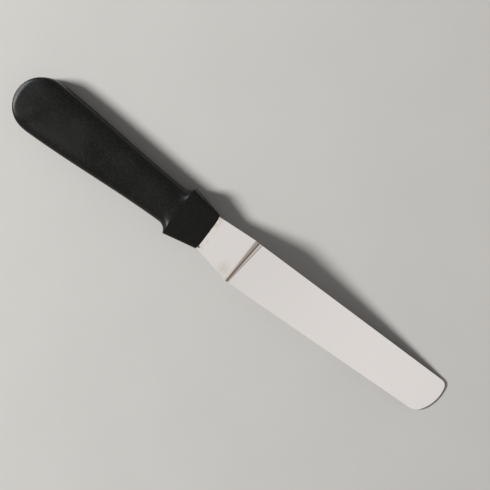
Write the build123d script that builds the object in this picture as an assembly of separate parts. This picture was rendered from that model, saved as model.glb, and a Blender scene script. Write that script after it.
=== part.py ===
from build123d import *
import copy
import math
import os

# Offset spatula lying on a table, as it comes to rest with its working side up:
# on the butt of its handle and the tip of its blade, with the heel of the blade highest.
# It is built with its handle level, X from the butt to the tip and Z up, and places
# along it are distances from the butt. Then it is tilted and laid on the table z = 0,
# with the origin under its middle. All sizes in mm and degrees.

handle_tilt = 1.5

# Handle: the butt is widest and the waist, just behind the guard, is narrowest
butt_width = 31.4
butt_top = 16.6
butt_underside = 0.0
waist = 100.3
waist_width = 21.8
waist_top = 16.2
waist_underside = 0.4
taper_straightness = 0.4
butt_squareness = 4.2
waist_squareness = 2.7
grip_steps = 6
half_section_points = 31

# Guard: the block at the front of the handle that keeps the fingers off the neck
cove_turn = 68.0
cove_steps = 4
guard_rear = 105.8
guard_front = 124.4
guard_rear_width = 29.2
guard_front_width = 21.6
guard_rear_underside = 0.4
guard_rear_top = 16.2
guard_front_underside = 5.4
guard_front_top = 10.4
guard_squareness = 4.5
guard_front_rounding = 0.5

# Blade stamping, seen from the side
sheet_thickness = 0.95
tang_height = 8.2
tang_rear = 46.0
tang_bend = 122.6
tang_bend_radius = 3.0
neck_rise = 20.5
blade_fall = 11.033
heel_neck_side = 147.1
heel_radius_left = 9.8
heel_radius_right = 2.6
sheet_reach = 16.0  # half the width of the sheet before it is cut out
sheet_end = 276.0

# Blade stamping, seen from above
tang_width = 11.0
tang_end_radius = 5.0
tang_hole_diameter = 5.0
tang_holes = [62.0, 84.0]
shoulder = 112.0
shoulder_radius = 2.0
mouth_width = 20.6
heel_width = 26.2
heel_blade_side = 152.1  # the blade keeps its full width across the heel bend
tip_width = 22.4
tip_left = 272.5  # the end of the blade is an arc through these distances, before its corners
tip_middle = 274.15
tip_right = 268.3
tip_radius_left = 3.9
tip_radius_right = 7.6


def section_points(distance, width, underside, top, squareness):
    """Left half of a handle section, from the middle of the underside to the middle of the top."""
    middle = (top + underside) / 2
    half_height = (top - underside) / 2
    points = []
    for step in range(half_section_points):
        angle = math.pi * step / (half_section_points - 1) - math.pi / 2
        across = abs(math.cos(angle)) ** (2 / squareness)
        up = math.copysign(abs(math.sin(angle)) ** (2 / squareness), math.sin(angle))
        points.append(Vector(distance, across * width / 2, middle + up * half_height))
    points[0] = Vector(distance, 0, underside)
    points[-1] = Vector(distance, 0, top)
    return points


def half_section_curve(distance, width, underside, top, squareness):
    """Smooth curve through the left half of a cross-section, level where it crosses the middle."""
    points = section_points(distance, width, underside, top, squareness)
    return Spline(*points, tangents=[(0, 1, 0), (0, -1, 0)])


def section_face(distance, width, underside, top, squareness):
    """Whole cross-section of the handle."""
    left = half_section_curve(distance, width, underside, top, squareness)
    right = mirror(left, about=Plane.XZ)
    return make_face(left + right)


def between(start, end, share):
    """Value that lies the given share of the way from start to end."""
    return start + (end - start) * share


def grip_section(distance):
    """Cross-section of the grip; the taper starts and ends gently."""
    back = (waist - distance) / (waist - butt_width / 2)
    gentle = 3 * back ** 2 - 2 * back ** 3
    share = between(gentle, back, taper_straightness)
    return section_face(
        distance,
        between(waist_width, butt_width, share),
        between(waist_underside, butt_underside, share),
        between(waist_top, butt_top, share),
        between(waist_squareness, butt_squareness, share),
    )


def handle_butt():
    """Round end of the handle: the widest section turned half a circle about an upright axis."""
    distance = butt_width / 2
    curve = half_section_curve(distance, butt_width, butt_underside, butt_top, butt_squareness)
    closing = Line((distance, 0, butt_top), (distance, 0, butt_underside))
    upright = Axis((distance, 0, 0), (0, 0, 1))
    return revolve(make_face(curve + closing), upright, 180)


def handle_grip():
    """Tapering grip from the butt to the waist."""
    shares = [step / grip_steps for step in range(grip_steps + 1)]
    return loft([grip_section(between(butt_width / 2, waist, share)) for share in shares])


def handle_cove():
    """Hollow flare that widens the waist into the guard."""
    full_turn = math.radians(cove_turn)
    sections = []
    for step in range(cove_steps + 1):
        turn = full_turn * step / cove_steps
        rise = (1 - math.cos(turn)) / (1 - math.cos(full_turn))
        run = math.sin(turn) / math.sin(full_turn)
        sections.append(section_face(
            between(waist, guard_rear, run),
            between(waist_width, guard_rear_width, rise),
            between(waist_underside, guard_rear_underside, rise),
            between(waist_top, guard_rear_top, rise),
            between(waist_squareness, guard_squareness, rise),
        ))
    return loft(sections)


def handle_guard():
    """Guard block, narrowing and thinning towards the neck."""
    rear = section_face(
        guard_rear, guard_rear_width, guard_rear_underside, guard_rear_top, guard_squareness)
    front = section_face(
        guard_front, guard_front_width, guard_front_underside, guard_front_top, guard_squareness)
    guard = loft([rear, front], ruled=True)
    front_edges = guard.faces().sort_by(Axis.X)[-1].edges()
    return fillet(front_edges, guard_front_rounding)


def heel_corner(heel_radius):
    """Where the neck and blade lines would meet: distance from the butt and height."""
    tangent_length = heel_radius * math.tan(math.radians(neck_rise + blade_fall) / 2)
    distance = heel_neck_side + tangent_length * math.cos(math.radians(neck_rise))
    height = tang_height + (distance - tang_bend) * math.tan(math.radians(neck_rise))
    return distance, height, tangent_length


def across_sheet(distance, across, height, slope, side):
    """Point on the upper (side 1) or lower (side -1) face of the sheet, square to its slope."""
    slope = math.radians(slope)
    half = side * sheet_thickness / 2
    return Vector(distance - math.sin(slope) * half, across, height + math.cos(slope) * half)


def heel_sides(heel_radius):
    """Middle of the sheet where the heel bend meets the neck and where it meets the blade."""
    distance, height, tangent_length = heel_corner(heel_radius)
    rise = math.radians(neck_rise)
    fall = math.radians(blade_fall)
    neck_side = (distance - tangent_length * math.cos(rise), height - tangent_length * math.sin(rise))
    blade_side = (distance + tangent_length * math.cos(fall), height - tangent_length * math.sin(fall))
    return neck_side, blade_side


def tang_and_neck():
    """Sheet from the rear of the tang to the heel bend."""
    neck_end, _ = heel_sides(heel_radius_left)
    corner_lean = neck_rise / 2
    corner_stretch = 1 / math.cos(math.radians(corner_lean))
    outline = []
    for side in (1, -1):
        rear = across_sheet(tang_rear, -sheet_reach, tang_height, 0, side)
        corner = across_sheet(tang_bend, -sheet_reach, tang_height, corner_lean, side * corner_stretch)
        front = across_sheet(neck_end[0], -sheet_reach, neck_end[1], neck_rise, side)
        outline += [rear, corner, front][::side]
    face = make_face(Polyline(*outline, close=True))
    bends = ((outline[1], tang_bend_radius), (outline[4], tang_bend_radius + sheet_thickness))
    for corner, radius in bends:
        face = fillet(face.vertices().sort_by_distance(corner)[0], radius)
    return extrude(face, 2 * sheet_reach, dir=(0, 1, 0))


def heel_section(across, heel_radius):
    """Side view of the heel bend at one side of the sheet."""
    neck_side, blade_side = heel_sides(heel_radius)
    rise = math.radians(neck_rise)
    middle_lean = (neck_rise - blade_fall) / 2
    centre_distance = neck_side[0] + heel_radius * math.sin(rise)
    centre_height = neck_side[1] - heel_radius * math.cos(rise)
    crown = (
        centre_distance - heel_radius * math.sin(math.radians(middle_lean)),
        centre_height + heel_radius * math.cos(math.radians(middle_lean)),
    )
    edges = []
    for side in (1, -1):
        start = across_sheet(neck_side[0], across, neck_side[1], neck_rise, side)
        middle = across_sheet(crown[0], across, crown[1], middle_lean, side)
        end = across_sheet(blade_side[0], across, blade_side[1], -blade_fall, side)
        edges.append(ThreePointArc(start, middle, end))
    upper, lower = edges
    neck_edge = Line(upper @ 0, lower @ 0)
    blade_edge = Line(upper @ 1, lower @ 1)
    return make_face(upper + blade_edge + lower + neck_edge)


def heel_bend():
    """Sheet through the heel bend, which is wider on the left than on the right."""
    left = heel_section(sheet_reach, heel_radius_left)
    right = heel_section(-sheet_reach, heel_radius_right)
    return loft([left, right], ruled=True)


def flat_blade():
    """Flat sheet from the heel bend to past the tip."""
    corners = {}
    for across, heel_radius in ((sheet_reach, heel_radius_left), (-sheet_reach, heel_radius_right)):
        _, (distance, height) = heel_sides(heel_radius)
        far_height = height - (sheet_end - distance) * math.tan(math.radians(blade_fall))
        for side in (1, -1):
            near = across_sheet(distance, across, height, -blade_fall, side)
            far = across_sheet(sheet_end, across, far_height, -blade_fall, side)
            corners[across > 0, side] = (near, far)
    left_up, left_down = corners[True, 1], corners[True, -1]
    right_up, right_down = corners[False, 1], corners[False, -1]
    sides = [
        (left_up[0], left_up[1], right_up[1], right_up[0]),
        (left_down[0], left_down[1], right_down[1], right_down[0]),
        (left_up[0], left_up[1], left_down[1], left_down[0]),
        (right_up[0], right_up[1], right_down[1], right_down[0]),
        (left_up[0], left_down[0], right_down[0], right_up[0]),
        (left_up[1], left_down[1], right_down[1], right_up[1]),
    ]
    return Solid(Shell([make_face(Polyline(*side, close=True)) for side in sides]))


def stamping_outline():
    """Outline of the stamping from above, with its two different tip corners."""
    half_tang = tang_width / 2
    half_mouth = mouth_width / 2
    half_heel = heel_width / 2
    half_tip = tip_width / 2
    sides = Polyline(
        (tip_left, half_tip),
        (heel_blade_side, half_heel),
        (heel_neck_side, half_heel),
        (guard_front, half_mouth),
        (shoulder, half_mouth),
        (shoulder, half_tang),
        (tang_rear, half_tang),
        (tang_rear, -half_tang),
        (shoulder, -half_tang),
        (shoulder, -half_mouth),
        (guard_front, -half_mouth),
        (heel_neck_side, -half_heel),
        (heel_blade_side, -half_heel),
        (tip_right, -half_tip),
    )
    end = ThreePointArc((tip_right, -half_tip), (tip_middle, 0), (tip_left, half_tip))
    outline = make_face(sides + end)
    rounded = [
        ((tang_rear, half_tang), tang_end_radius),
        ((tang_rear, -half_tang), tang_end_radius),
        ((shoulder, half_tang), shoulder_radius),
        ((shoulder, -half_tang), shoulder_radius),
        ((shoulder, half_mouth), shoulder_radius),
        ((shoulder, -half_mouth), shoulder_radius),
        ((tip_left, half_tip), tip_radius_left),
        ((tip_right, -half_tip), tip_radius_right),
    ]
    for (along, across), radius in rounded:
        corner = outline.vertices().sort_by_distance(Vector(along, across, 0))[0]
        outline = fillet(corner, radius)
    return outline


def blade_stamping():
    """Tang, neck and blade: one steel stamping, bent twice."""
    sheet = tang_and_neck() + heel_bend() + flat_blade()
    stamping = sheet & extrude(stamping_outline(), 2 * sheet_reach, both=True)
    for distance in tang_holes:
        hole = Cylinder(tang_hole_diameter / 2, tang_height)
        stamping = stamping - Pos(distance, 0, tang_height) * hole
    return stamping


def moulded_handle(stamping):
    """Handle moulded over the tang, so its plastic also fills the holes in the tang."""
    body = handle_butt() + handle_grip() + handle_cove() + handle_guard()
    return body - stamping


def blade_lean():
    """Angle by which the blade's left side is higher than its right, as its heel bend is wider."""
    slope = math.tan(math.radians(blade_fall))
    left_distance, left_height, _ = heel_corner(heel_radius_left)
    right_distance, right_height, _ = heel_corner(heel_radius_right)
    step = left_height - right_height + (left_distance - right_distance) * slope
    return math.degrees(math.atan(step / (2 * sheet_reach)))


def lie_on_table(pieces):
    """Tilt and roll the pieces until butt and tip lie on the table, and centre them on the origin."""
    turned = [Rot(-blade_lean(), -handle_tilt, 0) * piece for piece in pieces]
    box = Compound(children=[copy.copy(piece) for piece in turned]).bounding_box()
    shift = Pos(-box.center().X, -box.center().Y, -box.min.Z)
    return [shift * piece for piece in turned]


os.makedirs("parts", exist_ok=True)
stamping = blade_stamping()
blade, handle = lie_on_table([stamping, moulded_handle(stamping)])
export_step(blade, "parts/blade.step")
export_step(handle, "parts/handle.step")
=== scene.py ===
import math

import bmesh
import bpy
from mathutils import Matrix, Vector


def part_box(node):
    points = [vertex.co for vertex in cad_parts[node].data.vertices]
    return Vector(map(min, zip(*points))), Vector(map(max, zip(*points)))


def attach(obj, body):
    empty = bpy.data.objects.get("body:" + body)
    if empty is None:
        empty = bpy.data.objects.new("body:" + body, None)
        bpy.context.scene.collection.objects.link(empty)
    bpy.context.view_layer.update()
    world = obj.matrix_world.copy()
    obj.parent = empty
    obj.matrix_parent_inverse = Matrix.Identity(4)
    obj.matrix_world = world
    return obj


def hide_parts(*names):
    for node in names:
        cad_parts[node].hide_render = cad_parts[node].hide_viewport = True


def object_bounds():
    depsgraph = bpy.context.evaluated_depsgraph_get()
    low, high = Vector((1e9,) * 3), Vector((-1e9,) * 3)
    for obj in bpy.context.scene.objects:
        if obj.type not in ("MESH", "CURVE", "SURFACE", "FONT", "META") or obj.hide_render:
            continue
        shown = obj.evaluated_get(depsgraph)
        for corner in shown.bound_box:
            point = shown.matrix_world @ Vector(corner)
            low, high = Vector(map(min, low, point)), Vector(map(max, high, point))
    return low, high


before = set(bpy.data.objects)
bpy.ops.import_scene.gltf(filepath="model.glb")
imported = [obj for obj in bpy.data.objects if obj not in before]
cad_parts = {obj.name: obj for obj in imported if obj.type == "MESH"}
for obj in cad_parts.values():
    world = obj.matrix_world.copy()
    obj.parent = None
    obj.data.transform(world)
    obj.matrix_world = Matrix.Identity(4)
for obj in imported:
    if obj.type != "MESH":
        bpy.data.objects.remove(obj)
cad_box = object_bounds()

# The two pieces are modelled level, in mm, with X from the butt to the tip, Y to the left and
# Z up, and then turned and moved onto the CAD model. A place along X is its distance from the
# end of the butt. The sizes are those of the CAD model, apart from the few that are only looks.
METRES_PER_MM = 0.001
HANDLE_TILT = math.radians(1.5)

# Handle; a squareness is the exponent of the superellipse that a section is
BUTT_WIDTH = 31.4
BUTT_TOP = 16.6
BUTT_UNDERSIDE = 0.0
WAIST = 100.3
WAIST_WIDTH = 21.8
WAIST_TOP = 16.2
WAIST_UNDERSIDE = 0.4
TAPER_STRAIGHTNESS = 0.4
BUTT_SQUARENESS = 4.2
WAIST_SQUARENESS = 2.7
COVE_TURN = math.radians(68)
GUARD_REAR = 105.8
GUARD_FRONT = 124.4
GUARD_REAR_WIDTH = 29.2
GUARD_FRONT_WIDTH = 21.6
GUARD_REAR_UNDERSIDE = 0.4
GUARD_REAR_TOP = 16.2
GUARD_FRONT_UNDERSIDE = 5.4
GUARD_FRONT_TOP = 10.4
GUARD_SQUARENESS = 4.5
GUARD_FRONT_ROUNDING = 0.5

# Blade stamping; the heel bend has its two radii at SHEET_REACH to the left and to the right
SHEET_THICKNESS = 0.95
TANG_HEIGHT = 8.2
TANG_REAR = 46.0
TANG_END_RADIUS = 5.0
TANG_WIDTH = 11.0
TANG_HOLE_DIAMETER = 5.0
TANG_HOLES = (62.0, 84.0)
TANG_BEND = 122.6
TANG_BEND_RADIUS = 3.0
SHOULDER_START = 110.0
SHOULDER_END = 114.0
MOUTH_WIDTH = 20.6
NECK_RISE = math.radians(20.5)
BLADE_FALL = math.radians(11.033)
HEEL_NECK_SIDE = 147.1
HEEL_BLADE_SIDE = 152.1
HEEL_WIDTH = 26.2
HEEL_RADIUS_LEFT = 9.8
HEEL_RADIUS_RIGHT = 2.6
SHEET_REACH = 16.0
TIP_WIDTH = 22.4
TIP_LEFT = 272.5
TIP_MIDDLE = 274.15
TIP_RIGHT = 268.3
TIP_RADIUS_LEFT = 3.9
TIP_RADIUS_RIGHT = 7.6

# Only looks: the squarer upper rim at the end of the butt, a share that it is trimmed by, and its
# bevel, then softened edges, the fine moulding line, and the gap between sheet and handle
BUTT_END_SQUARENESS = 20.0
BUTT_END_TRIM = 0.009
BUTT_BEVEL_WIDTH = 2.3
BUTT_BEVEL_DROP = 0.05
BUTT_BEVEL_SLOPE = math.radians(18)
GUARD_REAR_ROUNDING = 0.35
EDGE_ROUNDING = 0.22
PARTING_LINE_WIDTH = 0.28
PARTING_LINE_DEPTH = 0.03
MOUTH_CLEARANCE = 0.07

# Fineness of the meshes
FINE_STEPS = 720
HALF_STEPS = 80
BUTT_STEPS = 48
GRIP_STEPS = 70
COVE_STEPS = 14
GUARD_STEPS = 10
ROUNDING_STEPS = 5
BEND_STEPS = 16
CORNER_STEPS = 14
BLADE_STEPS = 10
END_STEPS = 16
EDGE_STEPS = 4
HOLE_STEPS = 32
HALVINGS = 40
SHARP_EDGE = math.radians(60)


def between(start, end, share):
    """What lies the given share of the way from start to end."""
    return start + (end - start) * share


def gently(share):
    """Share that grows slowly at its start and at its end."""
    return 3 * share ** 2 - 2 * share ** 3


# --- Handle -----------------------------------------------------------------------------

def evenly_spaced(points, steps):
    """Points at equal steps along a polyline."""
    lengths = [0.0]
    for a, b in zip(points, points[1:]):
        lengths.append(lengths[-1] + (b - a).length)
    spaced = [points[0]]
    segment = 0
    for step in range(1, steps):
        target = lengths[-1] * step / steps
        while lengths[segment + 1] < target:
            segment += 1
        share = (target - lengths[segment]) / (lengths[segment + 1] - lengths[segment])
        spaced.append(between(points[segment], points[segment + 1], share))
    spaced.append(points[-1])
    return spaced


def half_section(width, underside, top, squareness):
    """Left half of a handle section: (across, height) from the underside to the top."""
    middle = (top + underside) / 2
    half_height = (top - underside) / 2
    points = []
    for step in range(FINE_STEPS + 1):
        angle = math.pi * step / FINE_STEPS - math.pi / 2
        across = abs(math.cos(angle)) ** (2 / squareness)
        up = math.copysign(abs(math.sin(angle)) ** (2 / squareness), angle)
        points.append(Vector((across * width / 2, middle + up * half_height)))
    points[0] = Vector((0, underside))
    points[-1] = Vector((0, top))
    spaced = evenly_spaced(points, HALF_STEPS)
    side = HALF_STEPS // 2
    spaced[side - 1] = Vector((width / 2, middle - PARTING_LINE_WIDTH / 2))
    spaced[side] = Vector((width / 2 - PARTING_LINE_DEPTH, middle))
    spaced[side + 1] = Vector((width / 2, middle + PARTING_LINE_WIDTH / 2))
    return spaced


def ring(distance, width, underside, top, squareness):
    """Closed handle section: up the left side and down the right side."""
    half = half_section(width, underside, top, squareness)
    left = [Vector((distance, p.x, p.y)) for p in half]
    right = [Vector((distance, -p.x, p.y)) for p in half[-2:0:-1]]
    return left + right


def grip_ring(distance):
    """Section of the grip; the taper starts and ends gently."""
    back = (WAIST - distance) / (WAIST - BUTT_WIDTH / 2)
    share = between(gently(back), back, TAPER_STRAIGHTNESS)
    return ring(
        distance,
        between(WAIST_WIDTH, BUTT_WIDTH, share),
        between(WAIST_UNDERSIDE, BUTT_UNDERSIDE, share),
        between(WAIST_TOP, BUTT_TOP, share),
        between(WAIST_SQUARENESS, BUTT_SQUARENESS, share),
    )


def cove_ring(turn):
    """Section of the hollow flare between the waist and the guard."""
    rise = (1 - math.cos(turn)) / (1 - math.cos(COVE_TURN))
    run = math.sin(turn) / math.sin(COVE_TURN)
    return ring(
        between(WAIST, GUARD_REAR, run),
        between(WAIST_WIDTH, GUARD_REAR_WIDTH, rise),
        between(WAIST_UNDERSIDE, GUARD_REAR_UNDERSIDE, rise),
        between(WAIST_TOP, GUARD_REAR_TOP, rise),
        between(WAIST_SQUARENESS, GUARD_SQUARENESS, rise),
    )


def guard_ring(distance, inset=0.0):
    """Section of the guard, which narrows and thins towards the neck."""
    share = (distance - GUARD_REAR) / (GUARD_FRONT - GUARD_REAR)
    return ring(
        distance,
        between(GUARD_REAR_WIDTH, GUARD_FRONT_WIDTH, share) - 2 * inset,
        between(GUARD_REAR_UNDERSIDE, GUARD_FRONT_UNDERSIDE, share) + inset,
        between(GUARD_REAR_TOP, GUARD_FRONT_TOP, share) - inset,
        GUARD_SQUARENESS,
    )


def rounded_rings(before, edge, after):
    """Rings that round off the edge ring, from the ring before it to the ring after it."""
    rings = []
    for step in range(ROUNDING_STEPS + 1):
        share = step / ROUNDING_STEPS
        rings.append([
            between(between(a, e, share), between(e, b, share), share)
            for a, e, b in zip(before, edge, after)
        ])
    return rings


def cove_end():
    """Turn of the cove where the rounding of the guard's rear edge starts."""
    mm_per_radian = math.hypot(
        (GUARD_REAR - WAIST) / math.tan(COVE_TURN),
        (GUARD_REAR_WIDTH - WAIST_WIDTH) / 2 * math.sin(COVE_TURN) / (1 - math.cos(COVE_TURN)),
    )
    return COVE_TURN - GUARD_REAR_ROUNDING / mm_per_radian


def handle_rings():
    """All the sections of the handle, from the widest place of the butt to the front face."""
    start = BUTT_WIDTH / 2
    rings = [grip_ring(between(start, WAIST, step / GRIP_STEPS)) for step in range(GRIP_STEPS)]
    last_turn = cove_end()
    rings += [cove_ring(last_turn * step / COVE_STEPS) for step in range(COVE_STEPS)]
    guard_start = GUARD_REAR + GUARD_REAR_ROUNDING
    guard_end = GUARD_FRONT - GUARD_FRONT_ROUNDING
    rings += rounded_rings(cove_ring(last_turn), guard_ring(GUARD_REAR), guard_ring(guard_start))
    for step in range(1, GUARD_STEPS):
        rings.append(guard_ring(between(guard_start, guard_end, step / GUARD_STEPS)))
    front_face = guard_ring(GUARD_FRONT, GUARD_FRONT_ROUNDING)
    rings += rounded_rings(guard_ring(guard_end), guard_ring(GUARD_FRONT), front_face)
    return rings


def butt_meridian(turn):
    """Section of the round butt at a turn about its upright axis, with the bevel at its end."""
    endward = math.cos(turn) ** 2
    squareness = between(BUTT_SQUARENESS, BUTT_END_SQUARENESS, endward)
    lower = half_section(BUTT_WIDTH, BUTT_UNDERSIDE, BUTT_TOP, BUTT_SQUARENESS)
    upper = half_section(BUTT_WIDTH, BUTT_UNDERSIDE, BUTT_TOP, squareness)
    bevel_start = BUTT_WIDTH / 2 - BUTT_BEVEL_WIDTH * endward
    side = HALF_STEPS // 2
    points = lower[:side + 1]
    for point in upper[side + 1:]:
        fall = BUTT_BEVEL_DROP + (point.x - bevel_start) * math.tan(BUTT_BEVEL_SLOPE)
        trimmed = point.x * (1 - BUTT_END_TRIM * endward)
        points.append(Vector((trimmed, min(point.y, BUTT_TOP - fall))))
    return points


def add_body(mesh):
    """Adds the handle in front of its round butt, and returns its first ring."""
    rings = [[mesh.verts.new(p) for p in points] for points in handle_rings()]
    for rear, front in zip(rings, rings[1:]):
        count = len(rear)
        for i in range(count):
            j = (i + 1) % count
            mesh.faces.new((rear[i], front[i], front[j], rear[j]))
    mesh.faces.new(rings[-1])
    return rings[0]


def add_butt(mesh, first):
    """Adds the round butt, which closes the first ring of the handle."""
    axis = BUTT_WIDTH / 2
    meridians = [first[:HALF_STEPS + 1]]
    for step in range(1, BUTT_STEPS):
        turn = math.pi * (0.5 + step / BUTT_STEPS)
        meridian = [first[0]]
        for point in butt_meridian(turn)[1:-1]:
            place = (axis + point.x * math.cos(turn), point.x * math.sin(turn), point.y)
            meridian.append(mesh.verts.new(place))
        meridian.append(first[HALF_STEPS])
        meridians.append(meridian)
    meridians.append([first[0]] + first[:HALF_STEPS - 1:-1])
    for a, b in zip(meridians, meridians[1:]):
        mesh.faces.new((a[0], a[1], b[1]))
        mesh.faces.new((a[-1], b[-2], a[-2]))
        for i in range(1, HALF_STEPS - 1):
            mesh.faces.new((a[i], a[i + 1], b[i + 1], b[i]))


def handle_mesh():
    """Closed surface of the handle."""
    mesh = bmesh.new()
    add_butt(mesh, add_body(mesh))
    bmesh.ops.recalc_face_normals(mesh, faces=mesh.faces)
    return mesh


# --- Blade stamping ---------------------------------------------------------------------

def tang_bend():
    """Radius of the sheet's middle in the bend between tang and neck, and the bend's two ends."""
    radius = TANG_BEND_RADIUS + SHEET_THICKNESS / 2
    start = TANG_BEND - radius * math.tan(NECK_RISE / 2)
    return radius, start, start + radius * math.sin(NECK_RISE)


def heel_arc(radius, share):
    """Middle of the sheet in a heel bend of that radius: distance and height."""
    start_height = TANG_HEIGHT + (HEEL_NECK_SIDE - TANG_BEND) * math.tan(NECK_RISE)
    slope = NECK_RISE - (NECK_RISE + BLADE_FALL) * share
    return (
        HEEL_NECK_SIDE + radius * (math.sin(NECK_RISE) - math.sin(slope)),
        start_height + radius * (math.cos(slope) - math.cos(NECK_RISE)),
    )


def heel_line(share, across):
    """Middle of the sheet at a place across the heel bend, which is wider on the left."""
    side = (across + SHEET_REACH) / (2 * SHEET_REACH)
    right = heel_arc(HEEL_RADIUS_RIGHT, share)
    left = heel_arc(HEEL_RADIUS_LEFT, share)
    return between(right[0], left[0], side), between(right[1], left[1], side)


def sheet_middle(distance, across):
    """Height and slope of the middle of the sheet above a point."""
    bend_radius, bend_start, bend_end = tang_bend()
    blade_start, blade_height = heel_line(1, across)
    if distance <= bend_start:
        return TANG_HEIGHT, 0.0
    if distance <= bend_end:
        slope = math.asin((distance - bend_start) / bend_radius)
        return TANG_HEIGHT + bend_radius * (1 - math.cos(slope)), slope
    if distance <= HEEL_NECK_SIDE:
        return TANG_HEIGHT + (distance - TANG_BEND) * math.tan(NECK_RISE), NECK_RISE
    if distance >= blade_start:
        return blade_height - (distance - blade_start) * math.tan(BLADE_FALL), -BLADE_FALL
    low, high = 0.0, 1.0
    for _ in range(HALVINGS):
        share = (low + high) / 2
        if heel_line(share, across)[0] < distance:
            low = share
        else:
            high = share
    return heel_line(share, across)[1], NECK_RISE - (NECK_RISE + BLADE_FALL) * share


def end_arc():
    """Centre and radius of the arc at the end of the blade."""
    left = Vector((TIP_LEFT, TIP_WIDTH / 2))
    middle = Vector((TIP_MIDDLE, 0)) - left
    right = Vector((TIP_RIGHT, -TIP_WIDTH / 2)) - left
    centre = left + Vector((
        right.y * middle.length_squared - middle.y * right.length_squared,
        middle.x * right.length_squared - right.x * middle.length_squared,
    )) / (2 * middle.cross(right))
    return centre, (centre - left).length


def turned(start, end, share):
    """Vector turned the given share of the way from start to end, which are equally long."""
    full = start.angle(end)
    return (start * math.sin(full * (1 - share)) + end * math.sin(full * share)) / math.sin(full)


def blade_side(heel, tip, radius):
    """One side of the blade, from the heel round the corner to near the middle of the end."""
    centre, end_radius = end_arc()
    along = (tip - heel).normalized()
    inward = Vector((along.y, -along.x)) * math.copysign(1, heel.y)
    offset = heel + inward * radius - centre
    back = offset.dot(along)
    ahead = math.sqrt((end_radius - radius) ** 2 - offset.length_squared + back ** 2) - back
    corner = centre + offset + along * ahead
    start = -inward * radius
    end = (corner - centre).normalized() * radius
    points = [between(heel, corner + start, step / BLADE_STEPS) for step in range(BLADE_STEPS)]
    points += [corner + turned(start, end, step / CORNER_STEPS) for step in range(CORNER_STEPS + 1)]
    last = corner + end - centre
    middle = Vector((TIP_MIDDLE, 0)) - centre
    points += [centre + turned(last, middle, step / END_STEPS) for step in range(1, END_STEPS)]
    return points


def tang_side(clearance):
    """Left side of the tang, its shoulder and the neck up to the front of the guard."""
    half_tang = TANG_WIDTH / 2 + clearance
    half_mouth = MOUTH_WIDTH / 2 + clearance
    points = []
    for step in range(CORNER_STEPS + 1):
        turn = math.pi / 2 * step / CORNER_STEPS
        points.append(Vector((
            TANG_REAR - clearance + TANG_END_RADIUS * (1 - math.cos(turn)),
            half_tang - TANG_END_RADIUS * (1 - math.sin(turn)),
        )))
    for step in range(CORNER_STEPS + 1):
        share = step / CORNER_STEPS
        points.append(Vector((
            between(SHOULDER_START, SHOULDER_END, share) - clearance,
            between(half_tang, half_mouth, gently(share)),
        )))
    bend_radius, bend_start, _ = tang_bend()
    for step in range(CORNER_STEPS + 1):
        slope = NECK_RISE * step / CORNER_STEPS
        points.append(Vector((bend_start + bend_radius * math.sin(slope), half_mouth)))
    points.append(Vector((GUARD_FRONT, half_mouth)))
    return points


def stamping_lines(clearance):
    """Pairs of left and right points of the stamping's outline, from the tang to the tip."""
    half_heel = HEEL_WIDTH / 2 + clearance
    half_tip = TIP_WIDTH / 2 + clearance
    pairs = [(point, Vector((point.x, -point.y))) for point in tang_side(clearance)]
    for step in range(BEND_STEPS + 1):
        share = step / BEND_STEPS
        pairs.append((
            Vector((heel_line(share, half_heel)[0], half_heel)),
            Vector((heel_line(share, -half_heel)[0], -half_heel)),
        ))
    left_side = blade_side(
        Vector((HEEL_BLADE_SIDE, half_heel)), Vector((TIP_LEFT, half_tip)), TIP_RADIUS_LEFT)
    right_side = blade_side(
        Vector((HEEL_BLADE_SIDE, -half_heel)), Vector((TIP_RIGHT, -half_tip)), TIP_RADIUS_RIGHT)
    pairs += zip(left_side, right_side)
    return pairs


def stamping_mesh(clearance=0.0):
    """Closed sheet of the stamping, or with a clearance the space that it needs in the handle."""
    mesh = bmesh.new()
    lines = []
    for pair in stamping_lines(clearance):
        # Each line has four corners: left top, left bottom, right top and right bottom
        corners = []
        for point in pair:
            height, slope = sheet_middle(point.x, point.y)
            half = (SHEET_THICKNESS / 2 + clearance) / math.cos(slope)
            corners.append(mesh.verts.new((point.x, point.y, height + half)))
            corners.append(mesh.verts.new((point.x, point.y, height - half)))
        lines.append(corners)
    mesh.faces.new([lines[0][i] for i in (0, 1, 3, 2)])
    mesh.faces.new([lines[-1][i] for i in (0, 2, 3, 1)])
    for a, b in zip(lines, lines[1:]):
        for i, j in ((0, 2), (2, 3), (3, 1), (1, 0)):
            mesh.faces.new((a[i], a[j], b[j], b[i]))
    bmesh.ops.recalc_face_normals(mesh, faces=mesh.faces)
    return mesh


def round_sheet_edges(mesh):
    """Rounds the edges between the faces and the rim of the sheet."""
    sharp = [edge for edge in mesh.edges if edge.calc_face_angle() > SHARP_EDGE]
    bmesh.ops.bevel(
        mesh, geom=sharp, affect="EDGES", offset=EDGE_ROUNDING, segments=EDGE_STEPS,
        profile=0.5, clamp_overlap=True)


def hole_mesh(distance, radius):
    """Pin through the tang, to cut a hole with."""
    mesh = bmesh.new()
    place = Matrix.Translation((distance, 0, TANG_HEIGHT))
    bmesh.ops.create_cone(
        mesh, cap_ends=True, segments=HOLE_STEPS, radius1=radius, radius2=radius,
        depth=TANG_HEIGHT, matrix=place)
    return mesh


# --- Pieces -----------------------------------------------------------------------------

def new_object(name, mesh):
    """Object of a mesh that was modelled in mm."""
    data = bpy.data.meshes.new(name)
    mesh.to_mesh(data)
    mesh.free()
    made = bpy.data.objects.new(name, data)
    bpy.context.scene.collection.objects.link(made)
    return made


def use_modifier(obj, kind, **settings):
    """Adds a modifier to an object and applies it."""
    modifier = obj.modifiers.new(kind, kind)
    for name, value in settings.items():
        setattr(modifier, name, value)
    with bpy.context.temp_override(object=obj, active_object=obj, selected_objects=[obj]):
        bpy.ops.object.modifier_apply(modifier=modifier.name)


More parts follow.
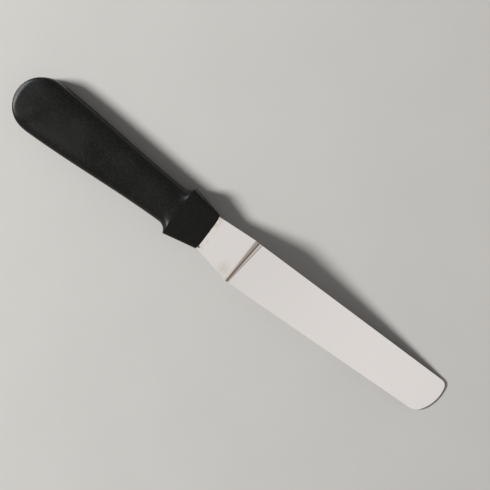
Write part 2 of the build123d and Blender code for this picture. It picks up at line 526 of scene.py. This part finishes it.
def cut(obj, cutter):
    """Cuts one object out of another and removes the cutter."""
    use_modifier(obj, "BOOLEAN", operation="DIFFERENCE", solver="EXACT", object=cutter)
    bpy.data.objects.remove(cutter)


def blade_object(name, clearance=0.0):
    """Blade stamping with the holes in its tang."""
    mesh = stamping_mesh(clearance)
    if clearance == 0:
        round_sheet_edges(mesh)
    made = new_object(name, mesh)
    for distance in TANG_HOLES:
        cut(made, new_object("hole", hole_mesh(distance, TANG_HOLE_DIAMETER / 2 - clearance)))
    return made


def handle_object(name):
    """Handle with the space for the stamping in it."""
    made = new_object(name, handle_mesh())
    cut(made, blade_object("tang_space", MOUTH_CLEARANCE))
    return made


def lie_like_cad(pieces):
    """Turns the level pieces, in mm, and moves them onto the CAD model, in metres."""
    left, left_height = heel_arc(HEEL_RADIUS_LEFT, 1)
    right, right_height = heel_arc(HEEL_RADIUS_RIGHT, 1)
    left_is_higher = left_height - right_height + (left - right) * math.tan(BLADE_FALL)
    lean = math.atan(left_is_higher / (2 * SHEET_REACH))
    turn = Matrix.Rotation(-lean, 4, "X") @ Matrix.Rotation(-HANDLE_TILT, 4, "Y")
    for piece in pieces.values():
        piece.data.transform(Matrix.Scale(METRES_PER_MM, 4) @ turn)
    corners = [[v.co[axis] for v in pieces["blade"].data.vertices] for axis in range(3)]
    low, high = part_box("blade")
    shift = Vector((
        low.x - min(corners[0]),
        (low.y + high.y - min(corners[1]) - max(corners[1])) / 2,
        high.z - max(corners[2]),
    ))
    for piece in pieces.values():
        piece.data.transform(Matrix.Translation(shift))


def stand_for_nodes(pieces):
    """Shades the pieces smoothly and puts each in the place of its CAD node."""
    for node, piece in pieces.items():
        piece.data.shade_smooth()
        use_modifier(piece, "WEIGHTED_NORMAL", mode="FACE_AREA", weight=100)
        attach(piece, "root")
        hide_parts(node)


# --- Materials --------------------------------------------------------------------------

# Sockets of a Mix node that mixes colours: three inputs and the output
SHARE, FIRST, SECOND, MIXED = 0, 6, 7, 2

PLASTIC_DARK = (0.0014, 0.0013, 0.0011)
PLASTIC_LIGHT = (0.0030, 0.0029, 0.0025)
PLASTIC_SPECK = (0.0085, 0.0083, 0.0073)
STEEL_DARK = (0.672, 0.650, 0.638)
STEEL_LIGHT = (0.706, 0.679, 0.672)
STEEL_LINE = (0.60, 0.59, 0.58)
MOUTH_TINT = (0.45, 0.36, 0.25)

# How deep the bumps of the surfaces are, in mm
GRAIN_DEPTH = 0.005
PLASTIC_WAVE_DEPTH = 0.008
LINE_DEPTH = 0.0012
STEEL_WAVE_DEPTH = 0.12

# Painted reflections along the heel bend: darker brown-tinted lines painted where the bend mirrors
# darker surroundings. Each has its left end and right end, as the distance from the butt and the
# place across in mm, then the strength, how far the line fades out in mm, and its tint
PAINTED_BEND_REFLECTIONS = (
    ((148.3, 6.4), (147.7, -7.4), 0.45, 2.4, (0.50, 0.41, 0.31)),
    ((148.97, 6.4), (147.85, -7.4), 0.80, 0.6, (0.14, 0.075, 0.04)),
    ((150.4, 6.4), (148.75, -7.4), 0.50, 0.6, (0.20, 0.12, 0.07)),
)

# Smudge and stain on the neck: distance from the butt, place across and height above the table
# in mm, where the spot starts and ends to fade in mm, then its strength and tint
SPOTS = (
    ((142.7, -8.9, 19.6), 1.0, 8.5, 0.5, (0.50, 0.45, 0.38)),
    ((125.2, -8.8, 13.05), 0.5, 1.4, 0.9, (0.10, 0.06, 0.03)),
)


def add(tree, kind, inputs=None, **attributes):
    """Shader node; each input is a value or another node's output."""
    made = tree.nodes.new(kind)
    for name, value in attributes.items():
        setattr(made, name, value)
    for name, value in (inputs or {}).items():
        if isinstance(value, bpy.types.NodeSocket):
            tree.links.new(value, made.inputs[name])
        else:
            made.inputs[name].default_value = value
    return made


def calculate(tree, operation, *values):
    """Output of a math node."""
    return add(tree, "ShaderNodeMath", dict(enumerate(values)), operation=operation).outputs[0]


def mix_colours(tree, share, first, second):
    """Output of a colour mix; the colours are outputs or (r, g, b)."""
    colours = [c if isinstance(c, bpy.types.NodeSocket) else (*c, 1.0) for c in (first, second)]
    inputs = {SHARE: share, FIRST: colours[0], SECOND: colours[1]}
    return add(tree, "ShaderNodeMix", inputs, data_type="RGBA").outputs[MIXED]


def spread(tree, value, low, high, new_low=0.0, new_high=1.0):
    """Value moved smoothly from one range to another."""
    inputs = dict(enumerate((value, low, high, new_low, new_high)))
    return add(tree, "ShaderNodeMapRange", inputs, interpolation_type="SMOOTHSTEP").outputs[0]


def noise(tree, place, scale, detail, stretch=(1.0, 1.0, 1.0), roughness=0.5):
    """Noise with features of about 1 / scale metres, stretched along the axes."""
    stretched = add(tree, "ShaderNodeMapping", {"Vector": place, "Scale": stretch}).outputs[0]
    inputs = {"Vector": stretched, "Scale": scale, "Detail": detail, "Roughness": roughness}
    return add(tree, "ShaderNodeTexNoise", inputs).outputs[0]


def new_material(name):
    """Material with only a Principled shader: itself, its tree, the shader and the place."""
    material = bpy.data.materials.new(name)
    material.use_nodes = True
    tree = material.node_tree
    tree.nodes.clear()
    shader = add(tree, "ShaderNodeBsdfPrincipled")
    output = add(tree, "ShaderNodeOutputMaterial")
    tree.links.new(shader.outputs[0], output.inputs[0])
    place = add(tree, "ShaderNodeTexCoord").outputs["Object"]
    return material, tree, shader, place


def bump(tree, height, depth, below=None):
    """Bump of that depth in mm, on top of another bump."""
    inputs = {"Height": height, "Distance": depth * METRES_PER_MM, "Strength": 1.0}
    if below is not None:
        inputs["Normal"] = below
    return add(tree, "ShaderNodeBump", inputs).outputs[0]


def handle_plastic():
    """Black polypropylene with a fine matt moulding grain."""
    material, tree, shader, place = new_material("handle_plastic")
    grain = noise(tree, place, scale=3200, detail=3)
    cloud = noise(tree, place, scale=55, detail=3)
    specks = spread(tree, noise(tree, place, scale=1100, detail=2), 0.42, 0.72, 0.0, 0.6)
    colour = mix_colours(tree, cloud, PLASTIC_DARK, PLASTIC_LIGHT)
    colour = mix_colours(tree, specks, colour, PLASTIC_SPECK)
    tree.links.new(colour, shader.inputs["Base Color"])
    roughness = spread(tree, cloud, 0.3, 0.7, 0.28, 0.36)
    tree.links.new(roughness, shader.inputs["Roughness"])
    shader.inputs["Specular IOR Level"].default_value = 0.11
    wavy = bump(tree, noise(tree, place, scale=420, detail=2), PLASTIC_WAVE_DEPTH)
    tree.links.new(bump(tree, grain, GRAIN_DEPTH, wavy), shader.inputs["Normal"])
    return material


def frame_point(distance, across, height=0.0):
    """Point in metres, from its distance from the butt, place across and height in mm."""
    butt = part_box("blade")[0].x - TANG_REAR * METRES_PER_MM
    return Vector((butt, 0, 0)) + Vector((distance, across, height)) * METRES_PER_MM


def painted_bend_reflection(tree, axes, left, right, strength, reach):
    """Share of a painted reflection: a straight dark line on the steel that fades out to its sides.
    """
    start = frame_point(*left)
    end = frame_point(*right)
    slant = (start.x - end.x) / (start.y - end.y)
    line = calculate(tree, "MULTIPLY_ADD", axes["Y"], slant, start.x - slant * start.y)
    away = calculate(tree, "ABSOLUTE", calculate(tree, "SUBTRACT", axes["X"], line))
    return spread(tree, away, 0.1 * METRES_PER_MM, reach * METRES_PER_MM, strength, 0.0)


def spot(tree, place, centre, near, far, strength):
    """Share of an uneven spot that fades out between two distances from its centre."""
    points = {0: place, 1: frame_point(*centre)}
    away = add(tree, "ShaderNodeVectorMath", points, operation="DISTANCE").outputs["Value"]
    ragged = noise(tree, place, scale=700, detail=2)
    uneven = calculate(tree, "MULTIPLY_ADD", ragged, far / 2 * METRES_PER_MM, away)
    return spread(tree, uneven, near * METRES_PER_MM, far * METRES_PER_MM, strength, 0.0)


def mouth_patches(tree, place, axes):
    """Share of the patchy tint on the steel close to the handle."""
    away = calculate(tree, "SUBTRACT", axes["X"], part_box("handle")[1].x)
    near = spread(tree, away, 0.4 * METRES_PER_MM, 4.5 * METRES_PER_MM, 0.5, 0.0)
    patches = spread(tree, noise(tree, place, scale=420, detail=3), 0.42, 0.66)
    return calculate(tree, "MULTIPLY", near, patches)


def stainless_steel():
    """Satin polished steel with fine lines along it, with painted reflections at the heel bend and
    a tint at the handle.
    """
    material, tree, shader, place = new_material("stainless_steel")
    axes = add(tree, "ShaderNodeSeparateXYZ", {0: place}).outputs
    lines = noise(tree, place, scale=1.0, detail=3, stretch=(45, 5200, 45), roughness=0.6)
    cloud = noise(tree, place, scale=32, detail=3)

    colour = mix_colours(tree, cloud, STEEL_DARK, STEEL_LIGHT)
    colour = mix_colours(tree, spread(tree, lines, 0.2, 0.8, 0.0, 0.10), colour, STEEL_LINE)
    # Painted reflections: darker brown-tinted lines along the heel bend
    for left, right, strength, reach, tint in PAINTED_BEND_REFLECTIONS:
        share = painted_bend_reflection(tree, axes, left, right, strength, reach)
        colour = mix_colours(tree, share, colour, tint)
    colour = mix_colours(tree, mouth_patches(tree, place, axes), colour, MOUTH_TINT)
    for centre, near, far, strength, tint in SPOTS:
        share = spot(tree, place, centre, near, far, strength)
        colour = mix_colours(tree, share, colour, tint)
    tree.links.new(colour, shader.inputs["Base Color"])

    shader.inputs["Metallic"].default_value = 1.0
    streaky = spread(tree, lines, 0.2, 0.8, 0.09, 0.15)
    rough = calculate(tree, "ADD", streaky, spread(tree, cloud, 0.3, 0.7, 0.0, 0.03))
    tree.links.new(rough, shader.inputs["Roughness"])
    wavy = bump(tree, noise(tree, place, scale=14, detail=2), STEEL_WAVE_DEPTH)
    tree.links.new(bump(tree, lines, LINE_DEPTH, wavy), shader.inputs["Normal"])
    return material


# --- Camera, light and floor ------------------------------------------------------------

# Camera: how far and which way it leans from straight above, which way its right side points,
# its distance in metres from the point that it looks at, and where that point lies on the
# floor from the middle of the object; lens and sensor in mm
CAMERA_LEAN = math.radians(10.1)
CAMERA_LEANS_TOWARDS = math.radians(87.13)
CAMERA_RIGHT_TOWARDS = math.radians(36.64)
CAMERA_DISTANCE = 0.6397
CAMERA_AIM = (0.00649, 0.00456)
LENS = 88.16
SENSOR_WIDTH = 36

# Distance of the lamps in metres, the share of the surroundings' light that reaches matt
# surfaces, and the colours of the surroundings as mirrored and as seen behind the floor
LAMP_DISTANCE = 2
FILL_LIGHT = 0.4
CEILING_COLOUR = (1.0, 0.985, 0.965)
BACKGROUND = (0.72, 0.71, 0.69)

# What the steel mirrors: brightness by the angle from overhead, in degrees towards the tip
CEILING = (
    (-90, 0.60), (-62, 0.95), (-42, 1.0), (-38, 0.80), (-32, 0.52), (-9, 0.46), (-3, 0.84),
    (4, 0.80), (16, 0.92), (20, 0.96), (27, 1.05), (33, 0.98), (50, 0.85), (90, 0.60),
)

# The floor reaches 3 m to all sides, and lies just under the object
FLOOR_REACH = 3
FLOOR_STEPS = 8
FLOOR_GAP = 0.00005
FLOOR_DARK = (0.385, 0.38, 0.372)
FLOOR_LIGHT = (0.415, 0.41, 0.402)


def make_camera():
    """Camera nearly overhead, leaning towards the object's left side."""
    middle = (cad_box[0] + cad_box[1]) / 2
    aim = Vector((middle.x + CAMERA_AIM[0], middle.y + CAMERA_AIM[1], 0))
    back = Vector((
        math.sin(CAMERA_LEAN) * math.cos(CAMERA_LEANS_TOWARDS),
        math.sin(CAMERA_LEAN) * math.sin(CAMERA_LEANS_TOWARDS),
        math.cos(CAMERA_LEAN),
    ))
    right = Vector((math.cos(CAMERA_RIGHT_TOWARDS), math.sin(CAMERA_RIGHT_TOWARDS), 0))
    right.z = -right.dot(back) / back.z
    right.normalize()
    turn = Matrix((right, back.cross(right), back)).transposed()
    data = bpy.data.cameras.new("camera")
    data.sensor_width = SENSOR_WIDTH
    data.lens = LENS
    camera = bpy.data.objects.new("camera", data)
    bpy.context.scene.collection.objects.link(camera)
    camera.matrix_world = Matrix.Translation(aim + back * CAMERA_DISTANCE) @ turn.to_4x4()
    bpy.context.scene.camera = camera


def make_lamp(name, towards, size, energy, colour, lit):
    """Soft lamp that stands in that direction and lights only the given objects."""
    data = bpy.data.lights.new(name, "AREA")
    data.shape = "DISK"
    data.size = size
    data.energy = energy
    data.color = colour
    lamp = bpy.data.objects.new(name, data)
    lamp.location = towards.normalized() * LAMP_DISTANCE
    lamp.rotation_mode = "QUATERNION"
    lamp.rotation_quaternion = towards.to_track_quat("Z", "Y")
    bpy.context.scene.collection.objects.link(lamp)
    receivers = bpy.data.collections.new("lit_by_" + name)
    for obj in lit:
        receivers.objects.link(obj)
    lamp.light_linking.receiver_collection = receivers


def make_lamps(handle, floor):
    """Key lamp, and a cooler one like a window that shines on the handle alone."""
    make_lamp(
        "key", towards=Vector((-0.689, -0.322, 0.649)), size=0.56, energy=68,
        colour=(1.0, 0.985, 0.96), lit=(handle, floor))
    make_lamp(
        "window", towards=Vector((-0.80, 0.06, 0.60)), size=0.7, energy=50,
        colour=(0.80, 0.90, 1.0), lit=(handle,))


def make_surroundings():
    """Plain pale room, whose ceiling has long soft lamps with darker gaps between them."""
    world = bpy.data.worlds.new("surroundings")
    world.use_nodes = True
    tree = world.node_tree
    tree.nodes.clear()
    towards = add(tree, "ShaderNodeTexCoord").outputs["Generated"]
    axes = add(tree, "ShaderNodeSeparateXYZ", {0: towards}).outputs
    angle = calculate(tree, "ARCTAN2", axes["X"], axes["Z"])
    place = calculate(tree, "MULTIPLY_ADD", angle, 1 / math.pi, 0.5)
    ramp = add(tree, "ShaderNodeValToRGB", {0: place})
    stops = ramp.color_ramp.elements
    # A new ramp already has its first and last stop
    for degrees, _ in CEILING[1:-1]:
        stops.new(degrees / 180 + 0.5)
    for stop, (_, brightness) in zip(stops, CEILING):
        stop.color = (*(brightness * part for part in CEILING_COLOUR), 1)
    ray = add(tree, "ShaderNodeLightPath").outputs
    seen = mix_colours(tree, ray["Is Camera Ray"], ramp.outputs[0], BACKGROUND)
    dimmed = spread(tree, ray["Is Diffuse Ray"], 0.0, 1.0, 1.0, FILL_LIGHT)
    background = add(tree, "ShaderNodeBackground", {"Color": seen, "Strength": dimmed})
    output = add(tree, "ShaderNodeOutputWorld")
    tree.links.new(background.outputs[0], output.inputs[0])
    bpy.context.scene.world = world


def make_floor():
    """Plain pale floor under the object."""
    mesh = bmesh.new()
    bmesh.ops.create_grid(mesh, x_segments=FLOOR_STEPS, y_segments=FLOOR_STEPS, size=FLOOR_REACH)
    floor = new_object("floor", mesh)
    floor.location.z = cad_box[0].z - FLOOR_GAP
    material, tree, shader, place = new_material("floor")
    cloud = noise(tree, place, scale=20, detail=3)
    colour = mix_colours(tree, cloud, FLOOR_DARK, FLOOR_LIGHT)
    tree.links.new(colour, shader.inputs["Base Color"])
    shader.inputs["Roughness"].default_value = 0.85
    shader.inputs["Specular IOR Level"].default_value = 0.1
    floor.data.materials.append(material)
    return floor


# --- The scene --------------------------------------------------------------------------

pieces = {"handle": handle_object("handle_moulding"), "blade": blade_object("blade_stamping")}
lie_like_cad(pieces)
stand_for_nodes(pieces)
pieces["handle"].data.materials.append(handle_plastic())
pieces["blade"].data.materials.append(stainless_steel())

make_lamps(pieces["handle"], make_floor())
make_surroundings()
make_camera()
bpy.context.scene.view_settings.view_transform = "Standard"
